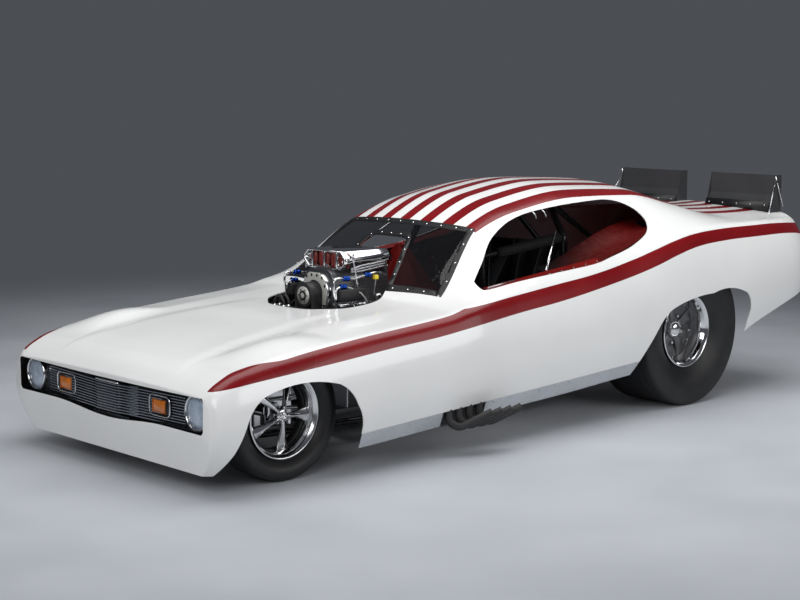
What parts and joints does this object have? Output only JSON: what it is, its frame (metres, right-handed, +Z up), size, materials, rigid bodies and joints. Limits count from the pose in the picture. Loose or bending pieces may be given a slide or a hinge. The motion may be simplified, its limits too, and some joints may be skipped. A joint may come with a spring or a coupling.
{
  "type": "drag racing car with tilting body",
  "caption": "Drag racing car: one-piece coupe body that tilts up over a tube chassis, supercharged engine through the hood, wide rear tyres, steered front wheels.",
  "frame": {"origin": "on the floor, under the middle of the overall length and width", "axes": "+X forward, +Y to the car's left, +Z up"},
  "size_m": [4.74, 2.0344, 1.318],
  "materials": {
    "body_white": "gloss paint over glass fibre",
    "clear_screen": "clear sheet",
    "bare_sheet": "plain sheet",
    "grille_black": "satin",
    "lamp_glass": "clear lens",
    "amber_lens": "clear lens",
    "red_lens": "clear lens",
    "spoiler_grey": "satin",
    "tail_black": "satin",
    "red_tin": "satin",
    "frame_black": "gloss",
    "plain_steel": "machined",
    "polished_metal": "polished",
    "cast_grey": "cast",
    "cover_black": "crackle",
    "belt_rubber": "ribbed",
    "pipe_black": "heat proof paint",
    "seat_black": "soft",
    "pack_cloth": "woven",
    "tyre_black": "slick and ribbed rubber"
  },
  "bodies": {
    "shell": {"body_shell": "body_white", "windscreen": "clear_screen", "rocker_panels": "bare_sheet", "grille": "grille_black", "headlamps": "lamp_glass", "parking_lamps": "amber_lens", "spoilers": "spoiler_grey", "tail_panel": "tail_black", "tail_lamps": "red_lens", "body_hinges": "plain_steel", "window_ledges": "red_tin"},
    "chassis": {"side_frame_left": "frame_black", "side_frame_right": "frame_black", "cross_tubes": "frame_black", "roll_cage": "frame_black", "front_axle": "polished_metal", "rear_axle_housing": "cast_grey", "engine_block": "cast_grey", "cylinder_heads": "cover_black", "blower": "polished_metal", "injector_hat": "polished_metal", "belt_drive": "belt_rubber", "frame_plates": "bare_sheet", "headers_left": "pipe_black", "headers_right": "pipe_black", "transmission": "cast_grey", "fuel_tank": "polished_metal", "engine_tray": "cover_black", "cockpit_tin": "red_tin", "seat": "seat_black", "steering_column": "plain_steel", "parachute_pack": "pack_cloth"},
    "knuckle_left": {"knuckle_left": "plain_steel"},
    "knuckle_right": {"knuckle_right": "plain_steel"},
    "tie_rod": {"tie_rod": "polished_metal"},
    "steering_wheel": {"steering_wheel": "seat_black"},
    "front_wheel_left": {"front_wheel_left": "polished_metal", "front_tyre_left": "tyre_black"},
    "front_wheel_right": {"front_wheel_right": "polished_metal", "front_tyre_right": "tyre_black"},
    "rear_axle": {"axle_shaft": "plain_steel", "rear_wheel_left": "polished_metal", "rear_wheel_right": "polished_metal", "rear_tyre_left": "tyre_black", "rear_tyre_right": "tyre_black"}
  },
  "joints": [
    {"name": "body_lift", "type": "hinge", "parent": "chassis", "child": "shell", "pos_m": [-2.15, 0, 0.45], "axis": [0, -1, 0], "range_deg": [0, 45]},
    {"name": "steer_left", "type": "hinge", "parent": "chassis", "child": "knuckle_left", "pos_m": [1.826, 0.6, 0.31], "axis": [0, 0, 1], "range_deg": [-18, 18]},
    {"name": "steer_right", "type": "hinge", "parent": "chassis", "child": "knuckle_right", "pos_m": [1.826, -0.6, 0.31], "axis": [0, 0, 1], "range_deg": [-18, 18]},
    {"name": "tie_rod_pivot", "type": "hinge", "parent": "knuckle_left", "child": "tie_rod", "pos_m": [1.706, 0.6, 0.2514], "axis": [0, 0, 1], "range_deg": [-18, 18]},
    {"name": "steering_wheel_turn", "type": "hinge", "parent": "chassis", "child": "steering_wheel", "pos_m": [0.11, 0, 0.79], "axis": [-0.8662, 0, 0.4997], "range_deg": [-108, 108]},
    {"name": "front_wheel_left_spin", "type": "hinge", "parent": "knuckle_left", "child": "front_wheel_left", "pos_m": [1.826, 0.66, 0.31], "axis": [0, 1, 0], "continuous": true},
    {"name": "front_wheel_right_spin", "type": "hinge", "parent": "knuckle_right", "child": "front_wheel_right", "pos_m": [1.826, -0.66, 0.31], "axis": [0, 1, 0], "continuous": true},
    {"name": "rear_axle_spin", "type": "hinge", "parent": "chassis", "child": "rear_axle", "pos_m": [-1.126, 0, 0.437], "axis": [0, 1, 0], "continuous": true}
  ],
  "couplings": [
    {"joint": "steer_right", "follows": "steer_left", "ratio": 1},
    {"joint": "tie_rod_pivot", "follows": "steer_left", "ratio": -1},
    {"joint": "steering_wheel_turn", "follows": "steer_left", "ratio": 6}
  ]
}
